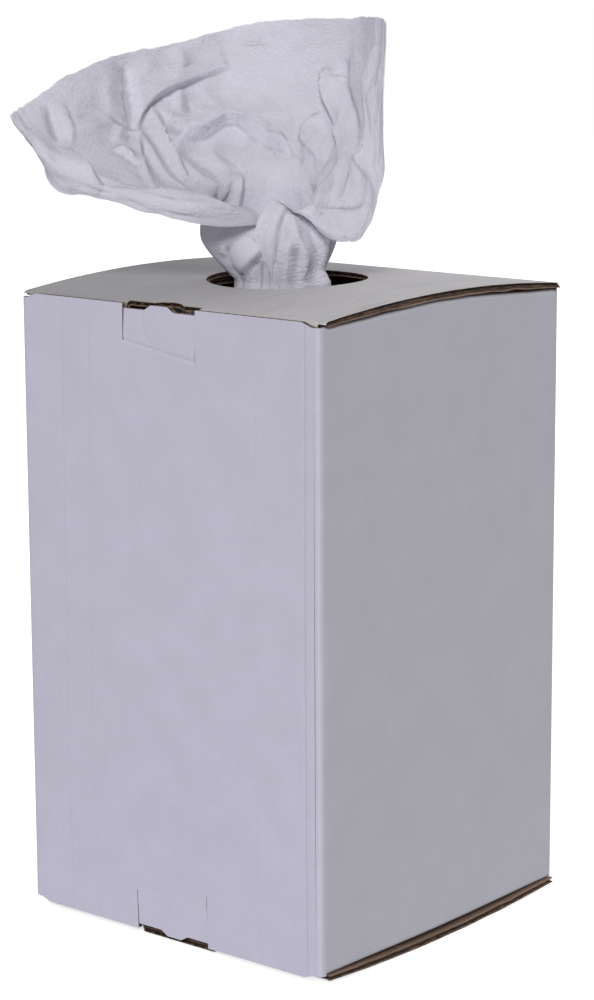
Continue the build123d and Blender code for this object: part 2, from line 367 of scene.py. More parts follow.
def creped_nonwoven(name, translucent):
    """Soft creped nonwoven: short cross ripples, bonded specks and a little light through it, with painted
    shade in its hollows and fold valleys and painted highlights on its fold ridges.
    """
    shader = Shader(name)
    place = shader.place(uv=True)
    ripples = shader.noise(shader.place((400, 620, 1), uv=True), 1.0, 2, 0.5)
    fine = shader.noise(shader.place((1000, 1500, 1), uv=True), 1.0, 2, 0.6)
    specks = shader.noise(place, 1700, 2)
    cloud = shader.noise(place, 28, 4)
    relief = ripples.between(0.25, 0.75) * 0.62 + fine.between(0.3, 0.7) * 0.28 + specks * 0.2
    tone = shader.blend(cloud.between(0.35, 0.7), [c * 0.95 for c in CLOTH_WHITE], CLOTH_WHITE)
    bent = shader.node("ShaderNodeNewGeometry", out="Pointiness")
    # Painted shade in the crepe's hollows and, from Pointiness, in the folds' valleys, and painted
    # highlights on the folds' ridges.
    shades = [(relief.between(0.75, 0.2) * 0.5, 0.86), (bent.between(0.502, 0.455) * 0.7, 0.58)]
    shades.append((bent.between(0.52, 0.60) * 0.6, 1.08))
    tone = shader.shaded(tone, CLOTH_WHITE, shades)
    shader.surface_set(
        Base_Color=tone,
        Roughness=0.92,
        Specular_IOR_Level=0.12,
        Sheen_Weight=0.15,
        Sheen_Roughness=0.5,
    )
    shader.bump(relief, 0.72 * MM, 0.9)
    glow = shader.node("ShaderNodeBsdfTranslucent", {"Color": tone})
    shader.join_surface("ShaderNodeMixShader", {0: translucent, 2: glow}, 1)
    return shader.material


def wound_web(name):
    """The roll: fine turns on its ends, and a faintly uneven side."""
    shader = Shader(name)
    place = shader.place()
    across, deep = shader.axis(place, 0), shader.axis(place, 1)
    radius = (across * across + deep * deep) ** 0.5
    drift = shader.noise(place, 30, 3)
    turns = (radius * (2 * math.pi / TURN_LINES) + drift * 9.0).sine() * 0.5 + 0.5
    bands = shader.noise(shader.node("ShaderNodeCombineXYZ", {"X": radius * 60.0}), 3.0, 2)
    shades = [(turns * 0.5, 0.66), (bands.between(0.4, 0.6) * 0.3, 0.8)]
    tone = shader.shaded(CLOTH_WHITE, CLOTH_WHITE, shades)
    shader.surface_set(Base_Color=tone, Roughness=0.9, Specular_IOR_Level=0.12)
    shader.bump(turns * 0.6 + drift * 0.5, 0.4 * MM, 0.8)
    return shader.material


face_liner = printed_liner("white_face_walls", FRONT_WHITE, 0, 0.22, scores=WALL_SCORES)
side_liner_painted_shade = printed_liner("white_face_sides_painted_shade", SIDE_WHITE_PAINTED_SHADE, 1, 0.22)
lid_liner = printed_liner("white_face_lid", LID_WHITE, 0, 0.8, streaks=True)
kraft = kraft_paper("brown_kraft")
kraft_inside = kraft_paper("brown_kraft_inside", 1.4, 0.3)
kraft_flutes = kraft_paper("brown_kraft_flutes", 0.5)
cloth = creped_nonwoven("creped_nonwoven", CLOTH_TRANSLUCENT)
wound = wound_web("wound_web")


def board_sheet(across, rows):
    """A flat piece of corrugated board in XY, inside face at z 0: its inner liner, fluted medium
    and outer liner. across is its (low, high) in X, over the flutes, and rows are its Y."""
    layers = []
    low, high = across
    count = max(8, round((high - low) / FLUTE_PITCH * FLUTE_STEPS))
    wave = (BOARD - 2 * LINER) / 2 - 0.02 * MM
    for middle, thick, height, paper in [
        (LINER / 2, LINER, 0.0, kraft_inside),
        (BOARD / 2, MEDIUM, wave - MEDIUM / 2, kraft_flutes),
        (BOARD - LINER / 2, LINER, 0.0, kraft),
    ]:
        sheet = grid("layer", count, len(rows) - 1)
        for vertex in sheet.data.vertices:
            column = (vertex.co.x + 0.5) * (high - low) + low
            row = rows[round((vertex.co.y + 0.5) * (len(rows) - 1))]
            lift = height * math.cos(2 * math.pi * column / FLUTE_PITCH)
            vertex.co = (column, row, middle + lift)
        apply_modifier(sheet, "SOLIDIFY", thickness=thick, offset=0)
        sheet.data.materials.append(paper)
        layers.append(sheet)
    return layers


def cut(pieces, outline):
    """Take an upright block over the outline out of each piece."""
    cutter = prism(outline)
    for piece in pieces:
        apply_modifier(piece, "BOOLEAN", operation="DIFFERENCE", solver="EXACT", object=cutter)
    bpy.data.objects.remove(cutter)


def prism(points):
    """An upright closed block over an outline in XY, from below the board to above it."""
    mesh = bpy.data.meshes.new("cutter")
    shape = bmesh.new()
    face = shape.faces.new([shape.verts.new((x, y, -2 * BOARD)) for x, y in points])
    top = bmesh.ops.extrude_face_region(shape, geom=[face])
    for item in top["geom"]:
        if isinstance(item, bmesh.types.BMVert):
            item.co.z = 3 * BOARD
    bmesh.ops.recalc_face_normals(shape, faces=shape.faces)
    shape.to_mesh(mesh)
    shape.free()
    return add_object("cutter", mesh)


def disc(x, y, radius):
    """The outline of a round hole."""
    steps = 96
    turn = 2 * math.pi / steps
    return [(x + radius * math.cos(turn * i), y + radius * math.sin(turn * i)) for i in range(steps)]


def row_places(low, *runs):
    """Row places from low through each run, given as its high end and how far apart they are."""
    rows = [low]
    for high, step in runs:
        count = max(1, round((high - low) / step))
        rows += [low + (high - low) * i / count for i in range(1, count + 1)]
        low = high
    return rows


def finish_board(name, layers, white):
    """Join the layers, and give the outer liner's outer face its white."""
    outer = layers[-1]
    outer.data.materials.append(white)
    for face in outer.data.polygons:
        if face.normal.z > 0.5 and face.center.z > BOARD - 0.1 * MM:
            face.material_index = 1
    return join(name, *layers)


class FoldPath:
    """A board's outer face seen from the side: it starts at a point with a heading, and runs
    in legs that each have a length and a turn. Heights are measured in from the outer face."""

    def __init__(self, start, heading, legs):
        self.stations = []
        point, angle, gone = Vector(start), heading, 0.0
        for length, turn in legs:
            self.stations.append((gone, length, turn, point.copy(), angle))
            point, angle = self._advance(point, angle, length, turn, length)
            gone += length
        self.length = gone

    def _advance(self, point, angle, length, turn, distance):
        if abs(turn) < 1e-9:
            return point + distance * Vector((math.cos(angle), math.sin(angle))), angle
        radius = length / turn
        later = angle + turn * distance / length
        step = Vector((math.sin(later) - math.sin(angle), math.cos(angle) - math.cos(later)))
        return point + radius * step, later

    def at(self, distance, depth):
        """The point this far along, and this deep under the outer face."""
        station = [s for s in self.stations if s[0] <= distance + 1e-9] or self.stations[:1]
        gone, length, turn, point, angle = station[-1]
        place, heading = self._advance(point, angle, length, turn, distance - gone)
        outward = Vector((-math.sin(heading), math.cos(heading)))
        return place - outward * depth


def turn_faces(piece):
    """Turn every face over, where the piece's mapping mirrors it."""
    pick(piece)
    bpy.ops.object.mode_set(mode="EDIT")
    bpy.ops.mesh.select_all(action="SELECT")
    bpy.ops.mesh.flip_normals()
    bpy.ops.object.mode_set(mode="OBJECT")


def bend(piece, mapping):
    """Move every point of a flat piece by the mapping."""
    for vertex in piece.data.vertices:
        vertex.co = mapping(vertex.co.x, vertex.co.y, vertex.co.z)


# The lid and the bottom flap, each with its tuck flap, hinged at the back
LID_OVERHANG = 1.0 * MM
TUCK_LENGTH = 40.0 * MM
TUCK_HALF = half_width - BOARD - 1.5 * MM
TUCK_CORNER = 12.0 * MM
TUCK_LEAN = math.radians(6.5)
SIDE_BOW = 4.8 * MM
EDGE_SPLIT = 1.9 * MM
EDGE_SPLIT_REACH = 5.0 * MM
FOOT_PRESS = 3.4 * MM
MEDIUM_SET_IN = 0.9 * MM
SIDE_SAG = 1.2 * MM
FOLD_GAP = 0.3 * MM
FOLD_LINER = 0.5 * MM
FOLD_RADIUS = 3.2 * MM
LID_BOW = 6.5 * MM
HOLE_RADIUS = 50.0 * MM
HOLE_SHIFT = -5.0 * MM
SLOT_DEPTH = 4.0 * MM
SLOT_DROP = 5.2 * MM
THUMB_RADIUS = 16.0 * MM
THUMB_DEPTH = 5.0 * MM
THUMB_MIDDLE = -2.5 * MM
TOP_SLITS = {-33.2 * MM: 22.0 * MM, 24.6 * MM: 31.0 * MM}
FOOT_SLITS = {-28.2 * MM: 25.0 * MM, 29.3 * MM: 34.0 * MM}
tuck_front = front_inside - FOLD_GAP
lid_chord = half_depth + tuck_front


def end_flap(name, rise, slits, flip):
    """One end flap: board bowed by rise, folded down at the front into its tuck flap. flip is 1
    for the lid, which also has the hole and the thumb notch, and -1 for the bottom flap."""
    slope = 2 * math.atan(2 * rise / lid_chord)
    bowed = lid_chord * (1 + 8 / 3 * (rise / lid_chord) ** 2)
    fold_turn = math.pi / 2 - slope + TUCK_LEAN
    fold_length = FOLD_RADIUS * fold_turn
    flat_length = bowed - FOLD_RADIUS
    # The path runs to the front, seen so that its forward is -Y and its up is flip * Z.
    edge = lid_edge if flip > 0 else foot_edge
    legs = [(flat_length, -2 * slope), (fold_length, -fold_turn), (TUCK_LENGTH - FOLD_RADIUS, 0.0)]
    path = FoldPath((0, 0), slope, legs)
    fold_end = flat_length + fold_length
    rows = row_places(FOLD_LINER, (flat_length, 12 * MM), (fold_end, 0.8 * MM), (path.length, 9 * MM))
    width = half_width + LID_OVERHANG
    layers = board_sheet((-width, width), rows)
    tuck_from = flat_length + fold_length * 0.62
    for side in (-1, 1):
        beyond = side * (width + BOARD)
        inset = side * TUCK_HALF
        corner = side * (TUCK_HALF - TUCK_CORNER)
        outline = [
            (beyond, tuck_from),
            (inset, tuck_from),
            (inset, path.length - TUCK_CORNER),
            (corner, path.length + 0.1 * MM),
            (corner, path.length + BOARD),
            (beyond, path.length + BOARD),
        ]
        cut(layers, outline[::side])
    left, right = sorted(slits)
    slot_back = flat_length - SLOT_DEPTH + FOLD_RADIUS if flip > 0 else flat_length + 0.35 * fold_length
    slot_front = fold_end - FOLD_RADIUS + SLOT_DROP
    cut(layers, [(left, slot_back), (right, slot_back), (right, slot_front), (left, slot_front)])
    if flip > 0:
        cut(layers, disc(THUMB_MIDDLE, slot_back - THUMB_DEPTH + THUMB_RADIUS, THUMB_RADIUS))
        cut(layers, disc(0, half_depth - HOLE_SHIFT, HOLE_RADIUS))
    piece = finish_board(name, layers, lid_liner)

    def place(x, y, z):
        at_edge = abs(x) > width - 0.2 * MM
        set_in = 0.5 * MM * wobble(y * 260, 3 + z * 900) if at_edge else 0.0
        if y > path.length - 1 * MM:
            y += 0.35 * MM * wobble(x * 300, y * 120, z * 900)
        along = max(0.0, 1 - (2 * y / flat_length - 1) ** 2)
        split = EDGE_SPLIT * smooth_step(width - EDGE_SPLIT_REACH, width, abs(x))
        split *= (0.25 + 0.75 * along) * along**0.3
        torn = 0.8 + 0.6 * wobble(y * 70, x * 9, 3.0) + 0.5 * wobble(y * 320, z * 700)
        z -= split * (1 - z / BOARD) * torn
        forward = path.at(y, BOARD - z)
        pressed = 0.0
        if flip < 0 and left < x < right:
            pressed = FOOT_PRESS * smooth_step(flat_length - 22 * MM, flat_length, y)
        up = edge + flip * (forward.y + pressed)
        if LINER < z < BOARD - LINER and at_edge:
            set_in -= MEDIUM_SET_IN * (1 + 0.6 * wobble(y * 150, 8.0))
        return Vector((x + set_in * (1 if x > 0 else -1), half_depth - forward.x, up))

    if flip > 0:
        turn_faces(piece)
    bend(piece, place)
    shade_smooth(piece, 30)
    return piece


lid = end_flap("lid_board", LID_BOW, TOP_SLITS, 1)
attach(lid, "lid")
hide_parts("top_lid")
foot = end_flap("foot_board", foot_edge, FOOT_SLITS, -1)
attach(foot, "base_flap")
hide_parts("bottom_lid")


# The front wall, with its raw fluted edges, and the press panels of both locks
PRESS_DROP = 3.1 * MM
TAB_SLOPE = 5.4 * MM
TOP_TAB = (-16.6 * MM, 7.1 * MM)
FOOT_TAB = (-9.8 * MM, 12.1 * MM)
FRONT_CORNER = 4.5 * MM
SLIT_WIDTH = 0.4 * MM
FRONT_BULGE = 3.4 * MM
SIDE_SWELL = 0.9 * MM
PANEL_ROWS = 36.0 * MM
PRESS_IN = 1.0 * MM
SCORE_DEPTH = 0.8 * MM
SCORE_HALF = 1.3 * MM
THUMB_SCORE = (-4.7 * MM, 9.0 * MM, 14.0 * MM)


def front_swell(x, z):
    """How far the front wall stands out, most in its lower middle, over the roll."""
    up = (z - front_low) / (front_high - front_low)
    over = math.cos(math.pi / 2 * min(1, abs(x) / half_width)) ** 0.8
    return FRONT_BULGE * over * math.sin(math.pi * min(1, max(0, up)) ** 0.8) ** 1.3


def press_in(x, down, slits):
    """How far the press panel between two slits is pushed in, this far from the raw edge."""
    left, right = sorted(slits)
    if not left < x < right:
        return 0.0
    crease = slits[left] + (slits[right] - slits[left]) * (x - left) / (right - left)
    thumb_x, thumb_down, thumb_radius = THUMB_SCORE
    from_arc = abs(math.hypot(x - thumb_x, down - thumb_down) - thumb_radius) if x < thumb_x else SCORE_HALF
    score = max(0.0, 1 - abs(down - crease) / SCORE_HALF) + 0.5 * max(0.0, 1 - from_arc / SCORE_HALF)
    return PRESS_IN * max(0.0, 1 - down / crease) + SCORE_DEPTH * score


def lock_outline(slits, tab, edge, way):
    """What is cut from the raw edge over the press panel and beside its tab."""
    left, right = sorted(slits)
    drop = edge - way * PRESS_DROP
    above = edge + way * BOARD
    tab_run = [(tab[0], drop), (tab[0] + TAB_SLOPE, edge), (tab[1] - TAB_SLOPE, edge), (tab[1], drop)]
    return [(left, above), (left, drop), *tab_run, (right, drop), (right, above)]


def front_wall():
    """The front wall, built flat with its height along Y, then stood up."""
    low_panel, high_panel = front_low + PANEL_ROWS, front_high - PANEL_ROWS
    rows = row_places(front_low, (low_panel, 1.5 * MM), (high_panel, 24 * MM), (front_high, 1.2 * MM))
    layers = board_sheet((-half_width + FRONT_CORNER, half_width - FRONT_CORNER), rows)
    locks = [(TOP_SLITS, TOP_TAB, front_high, 1), (FOOT_SLITS, FOOT_TAB, front_low, -1)]
    for slits, tab, edge, way in locks:
        cut(layers, lock_outline(slits, tab, edge, way))
        for middle, length in slits.items():
            wide, narrow = SLIT_WIDTH / 2, SLIT_WIDTH / 6
            inner, outer = edge - way * length, edge + way * BOARD
            inner_end = [(middle - wide, inner), (middle + wide, inner)]
            cut(layers, inner_end + [(middle + narrow, outer), (middle - narrow, outer)])
    piece = finish_board("front_board", layers, face_liner)

    def place(x, y, z):
        pressed = press_in(x, front_high - y, TOP_SLITS) + 0.5 * press_in(x, y - front_low, FOOT_SLITS)
        crush = FRONT_RISE * smooth_step(half_width - 15 * MM, half_width - FRONT_CORNER, abs(x))
        up = y - crush * smooth_step(front_high - 25 * MM, front_high, y)
        up += crush * (1 - smooth_step(front_low, front_low + 25 * MM, y))
        return Vector((x, -front_inside - z - front_swell(x, y) + pressed, up))

    bend(piece, place)
    shade_smooth(piece, 30)
    return piece


front = front_wall()
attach(front, "carton")
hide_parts("carton_walls")


def corner_run(middle, turn_from, turn_to):
    """Points round one outside corner of the carton, between two quarter turns."""
    points = []
    for step in range(CORNER_STEPS + 1):
        turn = math.pi / 2 * (turn_from + (turn_to - turn_from) * step / CORNER_STEPS)
        points.append((middle[0] + CORNER * math.cos(turn), middle[1] + CORNER * math.sin(turn)))
    return points


def side_columns(x, way, reach):
    """The columns of one side wall, from near one corner to near the other."""
    inner = reach - 0.4 * MM
    return [(x, way * (-inner + 2 * inner * i / WALL_STEPS)) for i in range(WALL_STEPS + 1)]


def side_bow(y, end):
    """How far a dust flap's fold is sprung up (end 1) or down (end -1) at this depth."""
    return (SIDE_BOW if end > 0 else SIDE_SAG) * math.cos(math.pi / 2 * min(1.0, abs(y) / half_depth)) ** 2


def side_and_back_walls():
    """The other three walls and all four vertical folds, as one bent sheet."""
    inner_x, inner_y = half_width - CORNER, half_depth - CORNER
    line = [(-half_width + FRONT_CORNER, -half_depth)]
    line += corner_run((-inner_x, -inner_y), -1, -2)
    line += side_columns(-half_width, 1, inner_y)
    line += corner_run((-inner_x, inner_y), 2, 1)
    line += [(-inner_x + 2 * inner_x * i / WALL_STEPS, half_depth) for i in range(1, WALL_STEPS)]
    line += corner_run((inner_x, inner_y), 1, 0)
    line += side_columns(half_width, -1, inner_y)
    line += corner_run((inner_x, -inner_y), 0, -1)
    line += [(half_width - FRONT_CORNER, -half_depth)]
    line.reverse()
    rows = row_places(side_low, (side_high, 12 * MM))
    walls = grid("wall_board", len(line) - 1, len(rows) - 1)
    for vertex in walls.data.vertices:
        column = round((vertex.co.x + 0.5) * (len(line) - 1))
        row = rows[round((vertex.co.y + 0.5) * (len(rows) - 1))]
        x, y = line[column]
        share = (row - side_low) / (side_high - side_low)
        swell = SIDE_SWELL * math.sin(math.pi * share)
        if abs(x) > half_width - 0.1 * MM and abs(y) < inner_y - 0.1 * MM:
            low = side_low + FOLD_RADIUS - side_bow(y, -1)
            high = side_high - FOLD_RADIUS + side_bow(y, 1)
            row = low + (high - low) * share
            x += math.copysign(swell * math.cos(math.pi / 2 * y / half_depth), x)
        vertex.co = (x, y, row)
    apply_modifier(walls, "SOLIDIFY", thickness=BOARD, offset=-1)
    for paper in (kraft, face_liner, side_liner_painted_shade):
        walls.data.materials.append(paper)
    for face in walls.data.polygons:
        outward = Vector((face.center.x, face.center.y, 0))
        reach = max(abs(face.center.x) / half_width, abs(face.center.y) / half_depth)
        if reach > 1 - 1.2 * MM / half_width and outward.dot(face.normal) > 0:
            face.material_index = 2 if abs(face.normal.x) > 0.7 else 1
    shade_smooth(walls, 50)
    return walls


def back_fold(name, wall_edge, hinge_edge):
    """The liner that runs on from the back wall to a flap's hinge, worn a little along it."""
    fold = grid(name, 120, 4)
    for vertex in fold.data.vertices:
        x = vertex.co.x * 2 * (half_width - CORNER)
        up = vertex.co.y + 0.5
        crush = 0.25 * MM * wobble(x * 150, up) * math.sin(math.pi * up)
        vertex.co = (x, half_depth - 0.02 * MM - abs(crush), wall_edge + (hinge_edge - wall_edge) * up)
    outside = -1 if hinge_edge < wall_edge else 1
    apply_modifier(fold, "SOLIDIFY", thickness=FOLD_LINER - 0.1 * MM, offset=outside)
    fold.data.materials.append(face_liner)
    shade_smooth(fold, 40)
    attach(fold, "carton")
    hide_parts("carton_walls")


back_fold("back_fold_top", side_high, lid_edge)
back_fold("back_fold_foot", side_low, foot_edge)
walls = side_and_back_walls()
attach(walls, "carton")
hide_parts("carton_walls")


# Dust flaps, folded in from the side walls, with the hole's edge cut through the upper pair
DUST_LENGTH = 96.0 * MM
DUST_FRONT_INSET = 10.0 * MM
DUST_BACK_INSET = 7.0 * MM
DUST_TAPER = 6.0 * MM
DUST_HOLE_MARGIN = 2.5 * MM


def dust_flap(name, side, end):
    """One dust flap with its rounded fold. side is the sign of X, end is 1 at the top."""
    legs = [(FOLD_RADIUS * math.pi / 2, -math.pi / 2), (DUST_LENGTH - FOLD_RADIUS, 0.0)]
    path = FoldPath((0, 0), math.pi / 2, legs)
    fold_end = legs[0][0]
    rows = row_places(0, (fold_end, 0.8 * MM), (path.length, 30 * MM))
    front_y = -half_depth + CORNER
    layers = board_sheet((front_y, -front_y), rows)
    tip = path.length + BOARD
    for way, inset in ((1, DUST_FRONT_INSET), (-1, DUST_BACK_INSET)):
        beyond, fold_y = way * (front_y - BOARD), way * (-half_depth + inset)
        taper = [(fold_y, fold_end), (fold_y + way * DUST_TAPER, tip)]
        cut(layers, [(beyond, fold_end), *taper, (beyond, tip)][::way])
    if end > 0:
        in_from_wall = half_width + fold_end - FOLD_RADIUS
        cut(layers, disc(HOLE_SHIFT, in_from_wall, HOLE_RADIUS + DUST_HOLE_MARGIN))
    piece = finish_board(name, layers, side_liner_painted_shade)
    fold_z = side_high - FOLD_RADIUS if end > 0 else side_low + FOLD_RADIUS

    def place(x, y, z):
        flat = path.at(y, BOARD - z)
        return Vector((side * (half_width - flat.x), x, fold_z + end * (flat.y + side_bow(x, end))))

    bend(piece, place)
    if side * end < 0:
        turn_faces(piece)
    shade_smooth(piece, 30)
    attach(piece, "carton")
    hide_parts("carton_walls")


for side in (-1, 1):
    for end in (-1, 1):
        dust_flap(f"dust_flap_{'left' if side < 0 else 'right'}_{'top' if end > 0 else 'foot'}", side, end)


# The pulled wipe: a gathered neck that opens like a lily into a bowl of cloth. Its points are
# (u to the camera's right, w towards the camera, z), s runs round it from selvage to selvage,
# and v runs from the hole to the torn edge.
TOWEL_TURN = math.radians(39.8)
pinch = Vector((-8.0 * MM, 0.0, 452.6 * MM))
SPREAD = 161.0 * MM
BOWL_DEPTH = 92.0 * MM
RISE = 109.0 * MM
neck_low = 391.0 * MM
funnel_top = 443.0 * MM
KNOT_RISE = 11.0 * MM
NECK_SHARE = 0.26
LIP_DRAW = 5.0 * MM
STRAND_SHARES = [
    [(-0.08, 0.13, -0.15), (-0.33, 0.5, -0.22), (-0.68, 0.52, 0.06),
     (-0.88, 0.3, -0.01), (-1.0, 0.1, 0.45)],
    [(-0.05, 0.08, -0.03), (-0.28, 0.33, -0.1), (-0.6, 0.38, 0.06),
     (-0.87, 0.29, 0.23), (-0.98, 0.04, 0.5)],
    [(-0.06, -0.02, 0.0), (-0.24, -0.04, -0.06), (-0.5, -0.18, 0.08),
     (-0.69, -0.34, 0.35), (-0.71, -0.45, 0.73)],
    [(-0.03, -0.1, 0.02), (-0.14, -0.4, 0.02), (-0.28, -0.68, 0.22),
     (-0.38, -0.86, 0.51), (-0.4, -0.88, 0.83)],
    [(0.01, -0.1, 0.02), (0.0, -0.4, 0.02), (-0.02, -0.73, 0.26),
     (-0.05, -0.96, 0.6), (-0.07, -1.0, 0.94)],
    [(0.04, -0.04, 0.01), (0.12, -0.27, 0.0), (0.19, -0.53, 0.25),
     (0.25, -0.7, 0.62), (0.26, -0.7, 0.97)],
    [(0.05, 0.02, 0.0), (0.21, -0.03, -0.08), (0.31, -0.13, 0.18),
     (0.37, -0.24, 0.58), (0.38, -0.35, 0.98)],
    [(0.0, 0.16, 0.03), (0.31, 0.33, -0.49), (0.43, 0.35, -0.34),
     (0.39, 0.17, 0.33), (0.415, -0.15, 0.96)],
]
NECK_BEARINGS = [84, 138, 182, 222, 268, 318, 368, 457]
STRIP_START = 0.962
STRIP_TURN = 22
BOWL_START_SHARES = [0.03, 0.05, 0.22, 0.25, 0.25, 0.22, 0.12, 0.03]
# The slack lobe of cloth that lies in the right of the hole
LOBE_SWELL = 9.5 * MM
LOBE_BEARING = math.radians(380)
LOBE_SPAN = math.radians(24)
lobe_height = 398.5 * MM
LOBE_REACH = 6.5 * MM


def eased(table, s):
    """The value at s across a row of numbers, eased through the ones beside it."""
    place = s * (len(table) - 1)
    index = min(int(place), len(table) - 2)
    t = place - index
    a, b, c, d = (table[max(0, min(len(table) - 1, index + k))] for k in (-1, 0, 1, 2))
    return b + 0.5 * t * (c - a + t * (2 * a - 5 * b + 4 * c - d + t * (3 * (b - c) + d - a)))


def neck_bearing(s, up=1.0):
    """Where a strand stands round the neck. The last strip of cloth laps over the front, and
    tapers to nothing at the hole."""
    lap = max(0.0, s - STRIP_START) / (1 - STRIP_START)
    turned = STRIP_TURN * lap * smooth_step(0.1, 0.7, up)
    return math.radians(eased(NECK_BEARINGS, min(1.0, s / STRIP_START)) + turned)


def neck_pleat(bearing):
    """The sharp, uneven pleats round the gathered neck, from -1 to 1, nearly flat in front."""
    phase = 8 * bearing / (2 * math.pi) + 0.34 * math.sin(3 * bearing + 1.0) + 0.13 * math.sin(7 * bearing)
    zigzag = 4 * abs(phase - math.floor(phase) - 0.5) - 1
    height = 0.62 + 0.38 * math.sin(2.3 * bearing + 0.4)
    return zigzag * height * (1 - 0.85 * max(0.0, math.sin(bearing)) ** 3)


def neck_point(s, up):
    """A point on the gathered neck, where up runs from 0 in the hole to 1 at the funnel's top."""
    bearing = neck_bearing(s, up)
    open_up = math.sin(math.pi / 2 * min(1.0, max(0.0, (up - 0.19) / 0.65)))
    half_u = (24.5 + 17.5 * open_up) * MM
    half_w = (18 + 9 * open_up) * MM
    front = max(0.0, math.sin(bearing))
    draw = 1 - 0.55 * front * up
    fold = 1 + 0.11 * neck_pleat(bearing) * (1 - 0.35 * up)
    strip = 1 + 0.04 * smooth_step(0.85, 0.95, s) + 0.15 * up * smooth_step(0.950, STRIP_START, s)
    u = -10.5 * MM + 2.5 * MM * open_up - 8 * MM * open_up * (1 - front)
    u += half_u * math.cos(bearing) * draw * fold
    w = half_w * math.sin(bearing) * (1 - 0.42 * front * up) * fold * strip - 2 * MM * open_up
    top = funnel_top + KNOT_RISE * smooth_step(0.93, 1.0, s) - 5 * MM * (1 - smooth_step(0.0, 0.10, s))
    z = neck_low + (top - neck_low) * up
    aside, above = (bearing - LOBE_BEARING) / LOBE_SPAN, (z - lobe_height) / LOBE_REACH
    lobe = LOBE_SWELL * math.exp(-aside * aside - above * above)
    return Vector((u + lobe * math.cos(LOBE_BEARING), w + lobe * math.sin(LOBE_BEARING), z))


def bowl_point(s, t):
    """A point of the open bowl, where t runs from 0 at the pinch to 1 at the torn edge."""
    order = len(STRAND_SHARES[0]) - 1
    weights = [math.comb(order, k) * t**k * (1 - t) ** (order - k) for k in range(order + 1)]
    u, w, z = (
        sum(
            weight * eased([strand[point][axis] for strand in STRAND_SHARES], s)
            for point, weight in enumerate(weights)
        )
        for axis in range(3)
    )
    pleat = neck_pleat(neck_bearing(s))
    gather = pleat * 4.0 * MM * (1 - t) ** 2 * math.sin(math.pi * t**0.5)
    return pinch + Vector((SPREAD * u, BOWL_DEPTH * w, RISE * z + gather))


def wipe_point(s, v):
    """A point of the whole wipe, from the hole (v 0) to the torn edge (v 1), in (u, w, z)."""
    up = min(1.0, v / NECK_SHARE)
    start = eased(BOWL_START_SHARES, s)
    t = start + (1 - start) * max(0.0, (v - NECK_SHARE) / (1 - NECK_SHARE))
    mixed = smooth_step(NECK_SHARE - 0.10, NECK_SHARE + 0.08, v)
    lip = 1 - smooth_step(0.0, 0.18, s)
    drawn_in = lip * math.exp(-(((v - 0.90) / 0.05) ** 2)) * LIP_DRAW
    turned_out = lip * math.exp(-(((v - 0.78) / 0.07) ** 2)) * LIP_DRAW
    curl = Vector((drawn_in - 0.6 * turned_out, 0, -turned_out))
    return neck_point(s, up).lerp(bowl_point(s, t), mixed) + curl


def from_photo_axes(point):
    """(u to the camera's right, w towards the camera, z) as x, y, z."""
    u, w, z = point
    cos_turn, sin_turn = math.cos(TOWEL_TURN), math.sin(TOWEL_TURN)
    return Vector((u * cos_turn + w * sin_turn, u * sin_turn - w * cos_turn, z))


WIPE_WIDTH = 0.33
WIPE_LENGTH = 0.19
WIPE_COLUMNS = 256
WIPE_ROWS = 166
CLOTH_THICK = 0.5 * MM
RELAX_STEPS = 18
